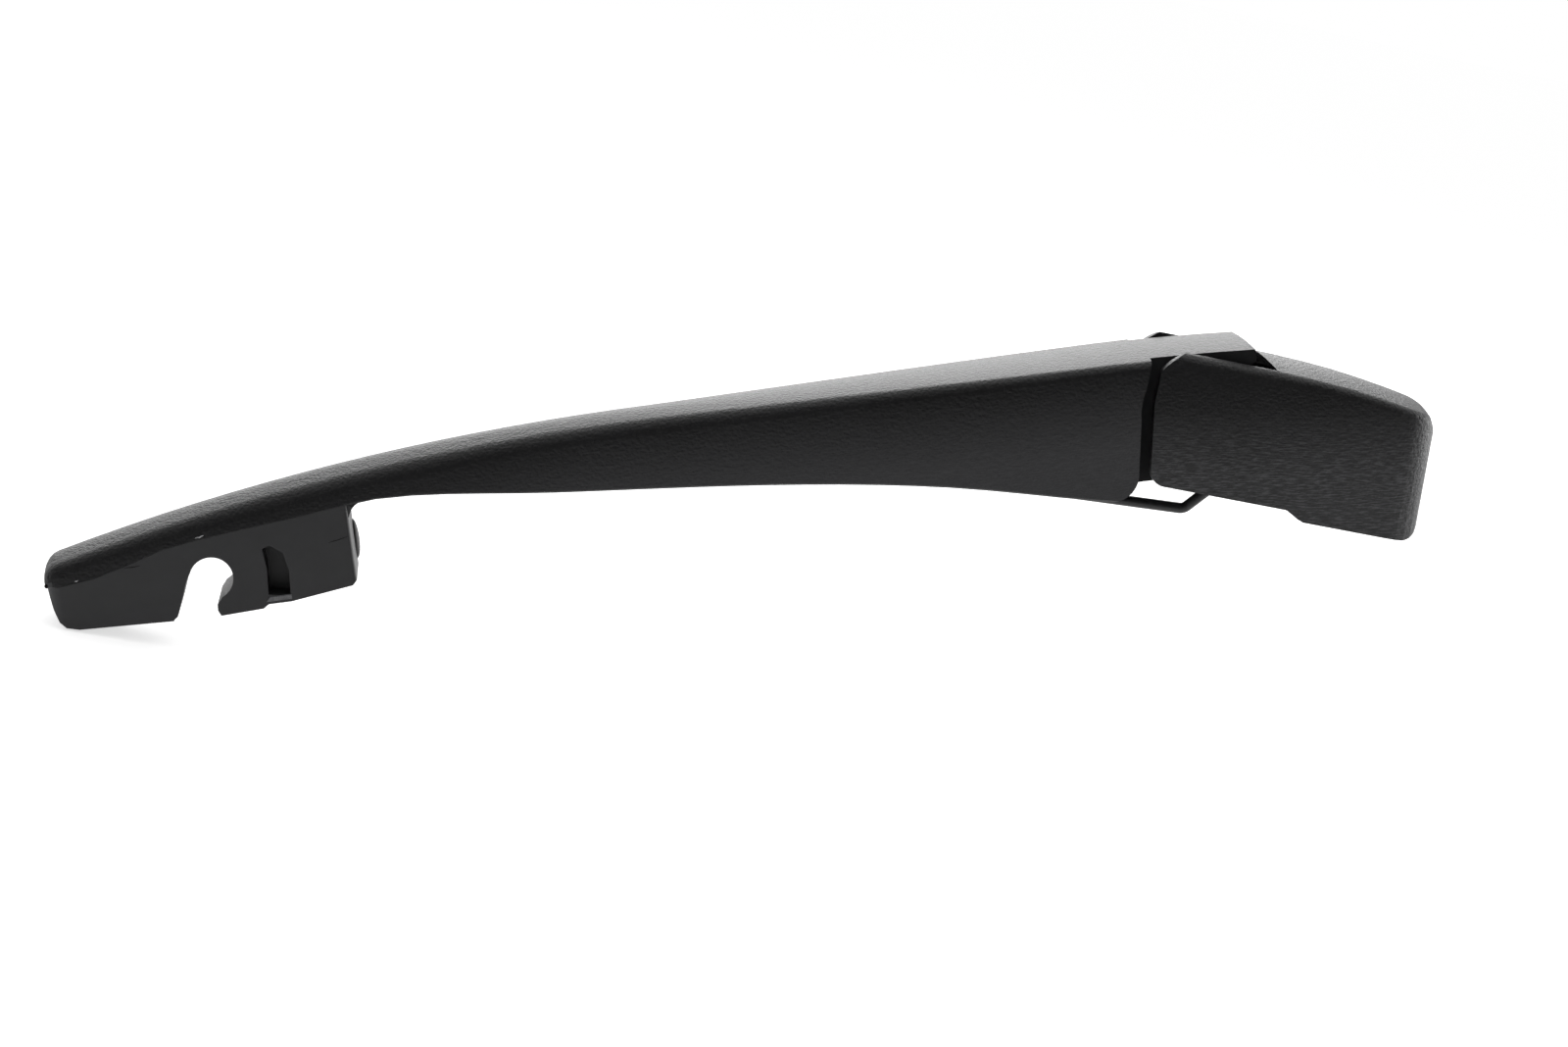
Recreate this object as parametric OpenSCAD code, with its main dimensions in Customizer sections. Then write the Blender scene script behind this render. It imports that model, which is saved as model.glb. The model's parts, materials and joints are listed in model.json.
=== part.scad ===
// Rear window wiper arm: a moulded channel arm on a sprung hinge, a cast head and its hood.
// The spindle axis is Z, the arm reaches towards -X, and the origin lies in the spindle's straight bore.
// Heights are drawn from the base of the head. The arm is drawn level in a frame of its own, with the
// hinge at the origin, and then let down to its stop.

/* [Arm] */
// Length of the arm from the hinge axis to the tip
arm_length = 249.4; // [235:0.2:270]
// Height of the arm's flat top above the hinge axis
roof_h = 13.2; // [12.6:0.1:14]
// Width of the arm beside the hood
arm_width = 30; // [28:0.5:34]
// Width of the arm at the blade mount
tip_width = 17; // [15:0.5:20]
// Depth of the arm's side wall at its rear end
rear_depth = 30.2; // [28:0.2:32]
// Radius of the bow in the front half of the arm's top
bow_r = 520; // [500:5:650]
// Length of the bowed front half of the arm's top, from the tip
bow_length = 129.4; // [120:0.2:140]
// Wall of the arm's channel
arm_wall = 2.4; // [2:0.1:3]
// Wall of the arm's top
roof_wall = 2.6; // [2.2:0.1:3.2]
// Thickness of the cross ribs in the channel
rib_t = 1.6; // [1.2:0.1:2.2]

/* [Blade mount] */
// Radius of the seat for the blade's cross pin
seat_r = 4.6; // [4:0.1:5]
// Distance from the tip to the seat's axis
seat_reach = 34.9; // [33:0.1:38]
// Height of the seat's axis against the hinge axis in the level arm
seat_h = -10.5; // [-11:0.1:-10]
// Depth of the mount below the hinge axis in the level arm
mount_depth = 18.2; // [17.8:0.1:20]
// Width of the mount
mount_width = 16.4; // [14.5:0.1:16.5]
// Distance from the tip to the mount's rear face
mount_length = 65.2; // [62:0.2:68]
// Depth of the pocket in each side of the mount
pocket_depth = 6.2; // [4:0.1:7]

/* [Hinge] */
// Distance from the spindle axis to the hinge axis
hinge_reach = 35.5; // [35:0.25:40]
// Height of the hinge axis above the base of the head
hinge_h = 19.5; // [19:0.25:21]
// Angle of the arm below level when it hangs on its stop
droop = 18; // [16:0.5:20]
// Radius of the hinge pin
pin_r = 3; // [2.5:0.1:3.4]
// Radial clearance of the hinge pin in the arm and the hood
running_gap = 0.06; // [0.03:0.01:0.1]
// Step from the arm's side in to its neck, on each side
neck_step = 3.7; // [3.4:0.1:4.4]
// Wall of the neck's two ears
ear_wall = 2.6; // [2.2:0.1:3]
// Clearance between the ears and the cast head
side_gap = 0.35; // [0.3:0.05:0.6]
// Radius of the neck's ears round the hinge pin
ear_r = 8; // [7.5:0.25:9]
// Length of the neck behind the hinge axis
neck_tail = 12; // [11:0.25:12.5]
// Radius of the concave rear edge of the arm about the hinge axis
rear_arc_r = 14.5; // [14.3:0.1:16]

/* [Hood] */
// Wall of the hood
hood_wall = 2; // [1.6:0.1:2.4]
// Height of the hood's top above the base at its front
hood_h = 32.3; // [31.5:0.1:34]
// Distance from the spindle axis to the rear of the hood
hood_rear = 18; // [17:0.1:24]
// Radius of the hood's rear corners seen from above
hood_corner_r = 8.5; // [6:0.5:10]
// Clearance between the neck's end and the front edge of the hood's top
swing_gap = 0.5; // [0.4:0.05:1]
// Radius of the cheeks' front corners about the hinge axis
cheek_arc_r = 13.8; // [13:0.1:13.9]
// Reach of the cheeks in front of the hinge axis
cheek_reach = 11.9; // [11:0.1:12.6]

/* [Head casting] */
// Radius of the spindle boss
boss_r = 10.5; // [9.5:0.25:11.5]
// Height of the seat for the spindle nut
nut_seat_h = 16; // [14:0.5:18]
// Radius of the straight bore for the threaded end of the spindle
spindle_r = 4.25; // [4:0.05:5]
// Length of the straight bore
spindle_length = 7; // [5:0.5:8]
// Radius of the taper at the base
taper_r = 5.9; // [5.5:0.1:6.5]
// Radius of the two hinge lugs
lug_r = 7.4; // [6.5:0.1:8]
// Width of the slot between the lugs, where the link swings
slot_width = 3.2; // [2.8:0.1:4]

/* [Spring] */
// Diameter of the link's wire
link_wire = 2.4; // [2:0.1:2.6]
// Radius of the pin that the link hooks over
anchor_r = 1.8; // [1.5:0.1:2]
// Distance of the anchor pin behind the hinge axis
anchor_back = 7.4; // [6.8:0.1:8]
// Distance of the anchor pin below the hinge axis
anchor_down = 14.8; // [14.4:0.1:15.2]
// Diameter of the spring's wire
spring_wire = 1.5; // [1.2:0.1:1.7]
// Mean radius of the spring's coils
coil_r = 3.2; // [3:0.1:3.4]
// Number of coils
coils = 28; // [20:1:32]
// Radius of the pin that the spring hooks over in the arm
spring_pin_r = 2; // [1.6:0.1:2.2]
// Distance of the spring pin in front of the hinge axis
spring_pin_reach = 132; // [128:1:138]
// Height of the spring pin above the hinge axis in the level arm
spring_pin_h = 4.6; // [4:0.1:5]
// Length of the link from the anchor pin to its eye
link_length = 50; // [46:1:60]

/* [Hidden] */
$fn = 48;
cut = 0.5;
far = 60;
moulded = "#26272a";
steel = "#b9bcc0";
zinc = "#8a8d91";

// Smooth curve through the stations [place, value], with its slope taken across the neighbours

function station_slope(s, i) =
    let (a = max(i - 1, 0), b = min(i + 1, len(s) - 1))
    (s[b][1] - s[a][1]) / (s[b][0] - s[a][0]);

function curve_piece(s, i, x) =
    let (
        w = s[i + 1][0] - s[i][0],
        t = (x - s[i][0]) / w,
        rise = s[i + 1][1] - s[i][1],
        p = station_slope(s, i) * w,
        q = station_slope(s, i + 1) * w
    )
    s[i][1] + p * t + (3 * rise - 2 * p - q) * t * t + (p + q - 2 * rise) * t * t * t;

function curve(s, x, i = 0) =
    i >= len(s) - 2 || x <= s[i + 1][0] ? curve_piece(s, i, x) : curve(s, x, i + 1);

// Side of an arched section, from its foot at +y up to the crown, as [y, z]

shoulder_steps = 5;
crown_steps = 3;
lip = 0.4;

function arch_side(half, top, foot, r, crown) =
    let (flat = half - r, shoulder = top - crown - r, edge = min(lip, (shoulder - foot) / 2))
    concat(
        [[half - edge, foot], [half, foot + edge]],
        [for (k = [0:shoulder_steps]) let (t = 84 * k / shoulder_steps)
            [flat + r * cos(t), shoulder + r * sin(t)]],
        [for (k = [1:crown_steps]) let (y = flat * (1 - k / crown_steps))
            [y, top - crown * pow(y / flat, 2)]]
    );

function arch(half, top, foot, r, crown) =
    let (side = arch_side(half, top, foot, r, crown), n = len(side))
    concat(side, [for (i = [n - 2:-1:0]) [-side[i][0], side[i][1]]]);

// Faces of a tube of rings that all have the same number of points

function ring_faces(rings, n) = [
    for (i = [0:rings - 2]) for (j = [0:n - 1])
        let (a = i * n + j, b = i * n + (j + 1) % n)
        for (f = [[a, b + n, b], [a, a + n, b + n]]) f
];

// End of a ring whose two halves run beside each other, closed pair by pair

function paired_end(start, n, flip) = [
    for (j = [0:ceil(n / 2) - 2])
        let (a = start + j, b = start + j + 1, c = start + n - 2 - j, d = start + n - 1 - j)
        for (f = flip ? [[a, b, c], [a, c, d]] : [[a, c, b], [a, d, c]])
            if (f[0] != f[1] && f[1] != f[2]) f
];

// Sizes that follow the arm's: the neck lies between the cheeks, and the hood is flush with the arm

neck_width = arm_width - 2 * neck_step;
hood_width = arm_width;

// Places in the level arm, measured from the hinge axis

tip = -arm_length;
straight_l = arm_length - bow_length;
seat_x = tip + seat_reach;
mount_rear = tip + mount_length;
wide_half = arm_width / 2;
tip_half = tip_width / 2;
neck_half = neck_width / 2;
ear_inner = neck_half - ear_wall;
rear_foot = roof_h - rear_depth;
nose_r = 3;
nose_drop = 2.6;
waist_h = 2.2;
loft_rear = neck_tail;

// Height of the arm's top, straight and then bowed down to the tip

tail_bend = 20;
tail_bow_r = 500;

function roof(x) =
    x > -tail_bend ? roof_h - pow(x + tail_bend, 2) / (2 * tail_bow_r)
        : x > -straight_l ? roof_h : roof_h - bow_r + sqrt(bow_r * bow_r - pow(x + straight_l, 2));

// Underside of the side walls: the seam over the mount, the waist behind it, then the deep rear

foot_stations = [
    [tip, -8.4],
    [tip + 7, -8.3],
    [tip + 20, -5],
    [tip + 27, -2.9],
    [tip + 54, 0.2],
    [mount_rear + 9, waist_h],
    [mount_rear + 44, waist_h - 3.3],
    [mount_rear + 94, rear_foot + 11.8],
    [-57, rear_foot + 7.4],
    [-22, rear_foot],
    [neck_tail, rear_foot - 6]
];

function foot(x) = min(curve(foot_stations, x), roof(x) - 2.5);

half_stations = [
    [tip, tip_half], [mount_rear, tip_half], [-131, tip_half + 0.7], [-88, wide_half - 3.4],
    [-45, wide_half - 1], [-10, wide_half], [neck_tail, wide_half]
];
shoulder_stations = [[tip, 3.2], [mount_rear, 4], [-125, 3.6], [-45, 2.6], [neck_tail, 1.8]];
crown_stations = [[tip, 1], [mount_rear, 1.1], [-125, 0.9], [-45, 0.6], [neck_tail, 0.5]];

// Share of the nose's rounding left at a place near the tip

function nose(x) = x - tip >= nose_r ? 0 : 1 - sqrt(1 - pow(1 - (x - tip) / nose_r, 2));

function half_at(x) = curve(half_stations, x) - nose_r * 0.8 * nose(x);
function roof_at(x) = roof(x) - nose_drop * nose(x);
function foot_at(x) = min(foot(x), roof_at(x) - 1.6);

// Thickness of the top: a block over the mount, a wall over the channel

channel_start = mount_rear + 2;
block_fade = 8;

function roof_t(x) =
    let (full = roof_at(x) - foot_at(x) - 0.6)
    x <= channel_start ? full
        : min(full, roof_wall + (full - roof_wall) * max(0, 1 - (x - channel_start) / block_fade));

function shoulder_at(x) = min(curve(shoulder_stations, x), (roof_at(x) - foot_at(x)) * 0.55);
function crown_at(x) = min(curve(crown_stations, x), (roof_at(x) - foot_at(x)) * 0.2);

function channel_ring(x) =
    let (
        half = half_at(x),
        top = roof_at(x),
        low = foot_at(x),
        r = shoulder_at(x),
        outer = arch(half, top, low, r, crown_at(x)),
        inner_top = top - roof_t(x),
        inner_r = min(max(r - arm_wall, 0.6), (inner_top - low) * 0.4 + 0.05),
        inner_crown = min(crown_at(x), (inner_top - low) * 0.2),
        inner = arch(half - arm_wall, inner_top, low, inner_r, inner_crown),
        n = len(inner)
    )
    concat([for (p = outer) [x, p[0], p[1]]], [for (i = [n - 1:-1:0]) [x, inner[i][0], inner[i][1]]]);

loft_steps = 34;
nose_steps = 4;
places = concat(
    [for (k = [0:nose_steps - 1]) tip + nose_r * (1 - cos(90 * k / nose_steps))],
    [for (k = [0:loft_steps]) tip + nose_r + (loft_rear - tip - nose_r) * k / loft_steps]
);

module channel() {
    rings = [for (x = places) channel_ring(x)];
    n = len(rings[0]);
    last = (len(places) - 1) * n;
    polyhedron(
        points = [for (ring = rings) for (p = ring) p],
        faces = concat(ring_faces(len(rings), n), paired_end(0, n, true), paired_end(last, n, false))
    );
}

// Extrudes an outline drawn in X and Z across the width, centred

module across(width) {
    rotate([90, 0, 0]) linear_extrude(width, center = true) children();
}

// Lowers the whole part, so that the origin comes to the middle of the straight bore

module placed() {
    translate([0, 0, spindle_length / 2 - nut_seat_h]) children();
}

module arm_frame() {
    translate([-hinge_reach, 0, hinge_h]) rotate([0, -droop, 0]) children();
}

// Blade mount: nose block, open seat for the cross pin, hook and rear block

mount_low = -mount_depth;
mouth_front = seat_x - seat_r - 3;
hook_tip_x = seat_x + 0.4;
hook_end_x = seat_x + 10;
rear_block_x = seat_x + 16;
rear_low = mount_low + 2.4;
mount_bite = 1.1;
mount_corner_r = 0.8;
front_inset = 0.4;
fillet_r = 4;

module mount_outline() {
    difference() {
        polygon(concat(
            [for (k = [0:6]) let (x = tip + 2.5 + (mount_length - 3) * k / 6) [x, foot_at(x) + mount_bite]],
            [
                [mount_rear, foot(mount_rear)], [mount_rear, rear_low + 1], [mount_rear - 1, rear_low],
                [rear_block_x, mount_low + 0.6], [hook_end_x + 1.2, mount_low + 0.6],
                [hook_end_x, mount_low - 0.2], [hook_tip_x + 1, mount_low - 0.6],
                [mouth_front + 1.5, mount_low - 0.6], [tip + 6, mount_low + 0.2],
                [tip + 3.4, mount_low + 0.9], [tip + 2.1, mount_low + 2.3], [tip + 1.2, mount_low + 5],
                [tip + 0.5, mount_low + 9], [tip + 0.4, mount_low + 11]
            ]
        ));
        translate([seat_x, seat_h]) circle(seat_r);
        polygon([
            [seat_x - seat_r + 0.5, seat_h + 2], [seat_x - seat_r - 0.6, seat_h + 0.2],
            [mouth_front, mount_low + 1.6], [mouth_front - 0.5, mount_low + 0.4],
            [mouth_front - 1.4, mount_low - 0.3], [mouth_front - 1.8, mount_low - 2],
            [hook_tip_x + 1.2, mount_low - 2], [hook_tip_x, mount_low + 0.6],
            [hook_tip_x + 0.1, mount_low + 1.9], [seat_x + 1.8, seat_h - 4.2], [seat_x, seat_h]
        ]);
    }
}

module mount_block() {
    intersection() {
        across(mount_width) mount_outline();
        translate([tip + front_inset, 0, mount_low - far / 2]) linear_extrude(far) union() {
            translate([nose_r, nose_r - mount_width / 2]) offset(nose_r)
                square([mount_length / 2, mount_width - 2 * nose_r]);
            translate([mount_length / 4, mount_corner_r - mount_width / 2]) offset(mount_corner_r)
                square([
                    0.75 * mount_length - front_inset - mount_corner_r, mount_width - 2 * mount_corner_r
                ]);
        }
    }
}

module mount_pockets() {
    for (side = [-1, 1])
        translate([0, side * (mount_width - pocket_depth) / 2 + side * cut, 0])
            across(pocket_depth + 2 * cut)
                polygon([
                    [hook_end_x + 1.4, seat_h - 5], [hook_end_x + 1.8, seat_h + 0.5],
                    [hook_end_x + 1.4, seat_h + 5], [hook_end_x + 3, seat_h + 5.6],
                    [hook_end_x + 5.6, seat_h + 3.6], [hook_end_x + 6.4, seat_h - 0.4],
                    [hook_end_x + 6, seat_h - 5.8]
                ]);
}

// Coring that lightens the nose block from below

module mount_coring() {
    core_l = seat_reach - seat_r - 12.5;
    translate([tip + 4.8 + core_l / 2, 0, mount_low - 1])
        linear_extrude(9) square([core_l, mount_width - 2 * arm_wall - 1], center = true);
}

module mount_fillet() {
    difference() {
        translate([mount_rear - 0.5, 0, waist_h - fillet_r + 0.6]) across(mount_width - 2 * mount_corner_r)
            square([fillet_r + 0.5, fillet_r]);
        translate([mount_rear + fillet_r, 0, waist_h - fillet_r - 0.2]) rotate([90, 0, 0])
            cylinder(h = arm_width, r = fillet_r, center = true);
    }
}

// Ribs across the channel in front of the spring, and the two webs that hold the spring pin

rib_count = 5;
rib_free_l = 18;
web_t = 2.2;
web_half_l = 4;
pin_half = half_at(-spring_pin_reach) - arm_wall - 0.2;

module channel_ribs() {
    start = mount_rear + 9;
    pitch = (arm_length - mount_length - spring_pin_reach - rib_free_l) / rib_count;
    for (k = [0:rib_count]) {
        x = start + k * pitch;
        top = roof(x) - roof_wall + 0.3;
        low = foot(x) + 2;
        wide = half_at(x) - arm_wall + 0.4;
        translate([x, 0, 0]) rotate([90, 0, 90]) linear_extrude(rib_t, center = true)
            polygon([
                [-wide, low], [wide, low], [wide, top - 2],
                [wide - 2, top], [2 - wide, top], [-wide, top - 2]
            ]);
    }
    end = start + rib_count * pitch;
    translate([start - 2, 0, 0]) rotate([90, 0, 0]) linear_extrude(rib_t, center = true)
        polygon([
            [0, foot(start) + 2.6], [end - start + 2, foot(end) + 2.6],
            [end - start + 2, roof(end) - roof_wall + 0.6], [0, roof(start - 2) - roof_wall + 0.6]
        ]);
}

module spring_pin_webs() {
    x = -spring_pin_reach;
    wall_in = half_at(x) - arm_wall;
    for (side = [-1, 1])
        translate([x, side * (wall_in + 0.6 - web_t / 2), 0]) across(web_t)
            polygon([
                [-web_half_l, roof(x) - roof_wall + 0.6], [-web_half_l, spring_pin_h - 2],
                [-web_half_l + 2, spring_pin_h - 3.8], [web_half_l - 2, spring_pin_h - 3.8],
                [web_half_l, spring_pin_h - 2], [web_half_l + 1, roof(x) - roof_wall + 0.6]
            ]);
}

// Neck: a narrower channel between the cheeks, with an ear each side of the cast lugs

neck_front = -26;
neck_low = -14;
tail_t = 3.2;
ear_top = roof_h - roof_wall + 0.4;
tail_low = roof(neck_tail) - tail_t;

module ear_outline() {
    difference() {
        union() {
            polygon([
                [neck_front, ear_top], [-2, ear_top], [neck_tail - 0.4, tail_low + 1],
                [neck_tail - 0.4, tail_low], [neck_tail - 2, tail_low - 0.8], [ear_r, 1.5], [0, 0],
                [-4, neck_low + 4], [-7.5, neck_low], [neck_front, neck_low]
            ]);
            circle(ear_r);
        }
        circle(pin_r + running_gap);
    }
}

module ears() {
    for (side = [-1, 1])
        translate([0, side * (neck_half + ear_inner) / 2, 0]) across(ear_wall) ear_outline();
}

// Steps that close the wide walls against the ears, cut back to the rear arc with them

step_front = neck_front + 4;
step_rear = -10;

module neck_steps() {
    outer = wide_half - arm_wall + 1;
    for (side = [-1, 1])
        translate([0, side * (ear_inner + outer) / 2, 0]) across(outer - ear_inner)
            polygon([
                [step_front, ear_top], [step_rear, ear_top], [step_rear, neck_low + 1],
                [step_rear - 6, neck_low], [step_front, neck_low]
            ]);
}

// Everything of the wide shell that the hood's cheeks need: a concave cut about the hinge

rear_top_way = 63;
rear_top_x = 10.2;

module rear_trim() {
    lean = 1.4;
    bottom = rear_foot - far / 2;
    corner = 6;
    for (side = [-1, 1])
        translate([0, side * (neck_half + wide_half + 4) / 2, 0])
            across(wide_half + 4 - neck_half) {
                circle(rear_arc_r, $fn = 96);
                difference() {
                    polygon([
                        [-rear_arc_r, 0], [-rear_arc_r - lean, rear_foot + corner],
                        [-rear_arc_r - lean - corner, rear_foot], [-rear_arc_r - lean - corner, bottom],
                        [far, bottom], [far, 0]
                    ]);
                    translate([-rear_arc_r - lean - corner, rear_foot + corner]) circle(corner);
                }
                polygon([
                    [0, 0], [-rear_arc_r * sin(rear_top_way), rear_arc_r * cos(rear_top_way)],
                    [-rear_top_x, roof_h + 2], [far, roof_h + 2], [far, 0]
                ]);
                polygon([[0, 0], [0, -rear_arc_r], [-rear_arc_r, -rear_arc_r], [-rear_arc_r, 0]]);
            }
}

module arm_body() {
    color(moulded) placed() arm_frame() {
        difference() {
            union() {
                difference() {
                    union() {
                        channel();
                        neck_steps();
                    }
                    rear_trim();
                }
                mount_block();
                mount_fillet();
                channel_ribs();
                spring_pin_webs();
                ears();
            }
            mount_pockets();
            mount_coring();
            translate([-spring_pin_reach, 0, spring_pin_h]) rotate([90, 0, 0])
                cylinder(h = 2 * pin_half, r = spring_pin_r, center = true);
        }
    }
}

module spring_pin() {
    color(steel) placed() arm_frame() translate([-spring_pin_reach, 0, spring_pin_h]) rotate([90, 0, 0])
        cylinder(h = 2 * pin_half, r = spring_pin_r, center = true);
}

module hinge_pin() {
    half = hood_width / 2 - 1.3;
    color(steel) placed() translate([-hinge_reach, 0, hinge_h]) rotate([90, 0, 0])
        cylinder(h = 2 * half, r = pin_r, center = true);
}

// Spring line: from the anchor pin in the head to the spring pin in the arm, at the stop

anchor = [anchor_back - hinge_reach, hinge_h - anchor_down];
pin_place = [
    -hinge_reach - spring_pin_reach * cos(droop) - spring_pin_h * sin(droop),
    hinge_h - spring_pin_reach * sin(droop) + spring_pin_h * cos(droop)
];
line_length = norm(anchor - pin_place);
line_angle = atan2(anchor[1] - pin_place[1], anchor[0] - pin_place[0]);
spring_length = line_length - link_length;

// Frame along the spring line, origin at the spring pin, +X towards the anchor pin

module spring_frame() {
    translate([pin_place[0], 0, pin_place[1]]) rotate([0, -line_angle, 0]) children();
}

// Tube swept along a path, its rings turned as little as possible from one to the next

function unit(v) = v / norm(v);
function path_way(path, i) = unit(path[min(i + 1, len(path) - 1)] - path[max(i - 1, 0)]);
function carried(side, way) = unit(side - (side * way) * way);

function sweep_points(path, r, sides, first) = [
    for (i = 0, side = carried(first, path_way(path, 0)); i < len(path);
        i = i + 1, side = i < len(path) ? carried(side, path_way(path, i)) : side)
        let (way = path_way(path, i), other = cross(way, side))
        for (k = [0:sides - 1])
            path[i] + r * (cos(360 * k / sides) * side + sin(360 * k / sides) * other)
];

module swept(path, r, sides, first) {
    n = len(path);
    polyhedron(
        points = sweep_points(path, r, sides, first),
        faces = concat(
            ring_faces(n, sides),
            [[for (k = [0:sides - 1]) k]],
            [[for (k = [sides - 1:-1:0]) (n - 1) * sides + k]]
        )
    );
}

// Spring: a hook round the spring pin in the upright plane, the coils, a hook in the level plane

coil_steps = 10;
front_hook_r = spring_pin_r + spring_wire / 2 + 0.1;
eye_r = link_wire / 2 + spring_wire + 0.9;
eye_hole_r = eye_r - link_wire / 2;
rear_hook_r = coil_r;
rear_apex = spring_length - eye_hole_r + spring_wire / 2 + 0.12;
coil_start = front_hook_r + 3;
coil_end = rear_apex - rear_hook_r - 1.5;

front_hook = [for (t = [100:20:260]) [front_hook_r * cos(t), 0, front_hook_r * sin(t)]];
front_leg = [[0.9 * front_hook_r, 0, -front_hook_r]];
coil_path = [
    for (k = [0:coils * coil_steps])
        let (t = 270 + 360 * k / coil_steps)
        [coil_start + (coil_end - coil_start) * k / (coils * coil_steps), coil_r * cos(t), coil_r * sin(t)]
];
rear_hook = [for (t = [-90:20:90]) [
    rear_apex - rear_hook_r + rear_hook_r * cos(t), rear_hook_r * sin(t), 0]];

module tension_spring() {
    path = concat(front_hook, front_leg, coil_path, [[coil_end + 0.9, -0.94 * coil_r, -0.4 * coil_r]],
        rear_hook);
    color(steel) placed() spring_frame() swept(path, spring_wire / 2, 6, [0, 1, 0]);
}

// Link: an eye for the spring, a straight wire, a bend under the head and a hook over the anchor pin

bend_in = 2.2;
leg_way = 49;
leg_length = 9.5;
hook_wrap = 175;
eye_wrap = 285;
hook_r = anchor_r + link_wire / 2 + 0.08;
wire_sides = 12;

function arc_points(centre, r, from, sweep, steps) = [
    for (k = [0:steps]) let (t = from + sweep * k / steps)
        [centre[0] + r * cos(t), 0, centre[1] + r * sin(t)]
];

module spring_link() {
    eye = anchor - link_length * [cos(line_angle), sin(line_angle)];
    hook_out = anchor + hook_r * [cos(leg_way - 90), sin(leg_way - 90)];
    corner = hook_out - leg_length * [cos(leg_way), sin(leg_way)];
    to_eye = eye - corner;
    reach = sqrt(to_eye * to_eye - eye_r * eye_r);
    run_way = atan2(-to_eye[1], -to_eye[0]) + 180 + atan2(eye_r, reach);
    turn = run_way - leg_way;
    centre = corner + bend_in / sin(turn / 2) * [cos(leg_way + turn / 2), sin(leg_way + turn / 2)];
    color(steel) placed() swept(
        concat(
            arc_points(eye, eye_r, run_way - 270 - eye_wrap, eye_wrap, 19),
            arc_points(centre, bend_in, run_way + 90, 180 - turn, 4),
            arc_points(anchor, hook_r, leg_way - 90, hook_wrap, 12)
        ),
        link_wire / 2, wire_sides, [0, 1, 0]
    );
}

// Cast head: spindle boss, bridge and two hinge lugs with the link's slot between them

lug_half = ear_inner - side_gap;
bridge_h = 10.5;
bridge_low = 2.3;
anchor_boss_r = 3.6;
stop_gap = 0.35;
stop_sag = 0.25;
foot_flange = 0.6;

function stop_h(x) = roof(x) - roof_wall - stop_sag - stop_gap;

module head_outline() {
    inset = 0.75 * anchor_boss_r;
    union() {
        polygon([
            [1 - boss_r, 0], [0, 0], [0, bridge_h], [-boss_r - 4, bridge_h],
            [-hinge_reach + lug_r * 0.8, hinge_h - lug_r * 0.4], [-hinge_reach, hinge_h],
            [-hinge_reach - lug_r * 0.66, hinge_h - lug_r * 0.66], [anchor[0] - inset, anchor[1]],
            anchor, [anchor[0], anchor[1] - inset], [-boss_r - 1, bridge_low]
        ]);
        translate([-hinge_reach, hinge_h]) circle(lug_r);
        translate([-hinge_reach, hinge_h]) rotate(droop)
            polygon([
                [0, -lug_r * 0.9], [0, lug_r * 0.9], [-3, stop_h(-3)], [-9.5, stop_h(-9.5)],
                [-10.5, stop_h(-9.5) - 3]
            ]);
        translate(anchor) circle(anchor_boss_r);
    }
}

module mounting_head() {
    color(zinc) placed() difference() {
        union() {
            across(2 * lug_half) head_outline();
            cylinder(h = nut_seat_h, r = boss_r);
            cylinder(h = 3, r = boss_r + foot_flange);
        }
        translate([-far - boss_r - 6, -slot_width / 2, -far / 2]) cube([far, slot_width, far * 2]);
        translate([-hinge_reach, 0, hinge_h]) rotate([90, 0, 0])
            cylinder(h = far, r = pin_r, center = true);
        translate([anchor[0], 0, anchor[1]]) rotate([90, 0, 0])
            cylinder(h = far, r = anchor_r, center = true);
        translate([0, 0, -cut]) cylinder(h = nut_seat_h + 2 * cut, r = spindle_r);
        translate([0, 0, -cut])
            cylinder(h = nut_seat_h - spindle_length + cut, r1 = taper_r, r2 = spindle_r + 0.5);
    }
}

module anchor_pin() {
    color(steel) placed() translate([anchor[0], 0, anchor[1]]) rotate([90, 0, 0])
        cylinder(h = 2 * lug_half, r = anchor_r, center = true);
}

// Hood: an arched cover with two cheeks, open below and between the cheeks in front

hood_front = -hinge_reach - 18;
hood_foot = -2;
hood_drop = 3.6;
hood_lean = 0.012;
lean_start = 12;
hood_steps = 9;
hood_edge_r = 2.4;

function hood_top(x) =
    let (t = max(0, (x + hinge_reach - 11) / (hood_rear + hinge_reach - 11))) hood_h - hood_drop * t * t;

function hood_half(x, rear, half, r) =
    let (d = rear - x) d >= r ? half : half - r + sqrt(max(0, r * r - pow(r - d, 2)));

function hood_ring(x, rear, half, r, shrink) =
    let (
        share = max(0, min(1, (x + 5) / (rear + 5))),
        edge = max(0, hood_edge_r - (rear - x)),
        rounding = hood_edge_r - sqrt(max(0, hood_edge_r * hood_edge_r - edge * edge)),
        top = hood_top(x) - shrink - rounding,
        shape = arch(hood_half(x, rear, half, r), top, hood_foot, 2.2 - shrink * 0.6, 1.2)
    )
    [for (p = shape) [x - share * hood_lean * pow(max(0, p[1] - lean_start), 2), p[0], p[1]]];

module hood_solid(shrink) {
    rear = hood_rear - shrink;
    half = hood_width / 2 - shrink;
    r = hood_corner_r - shrink;
    stops = concat(
        [for (k = [0:hood_steps - 1]) hood_front + (rear - r - hood_front) * k / hood_steps],
        [for (k = [0:5]) rear - r + r * sin(15 * k)],
        [rear - 0.02 * r]
    );
    rings = [for (x = stops) hood_ring(x, rear, half, r, shrink)];
    n = len(rings[0]);
    last = (len(stops) - 1) * n;
    polyhedron(
        points = [for (ring = rings) for (p = ring) p],
        faces = concat(
            ring_faces(len(rings), n),
            paired_end(0, n, true),
            paired_end(last, n, false)
        )
    );
}

// Side view of the hood: rounded front corners, level foot, and a deeper rear behind the step

hood_rear_round = 5.2;
step_x = -12;
front_foot = 2;
front_lean = 2.5;
front_corner = 3.6;

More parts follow.
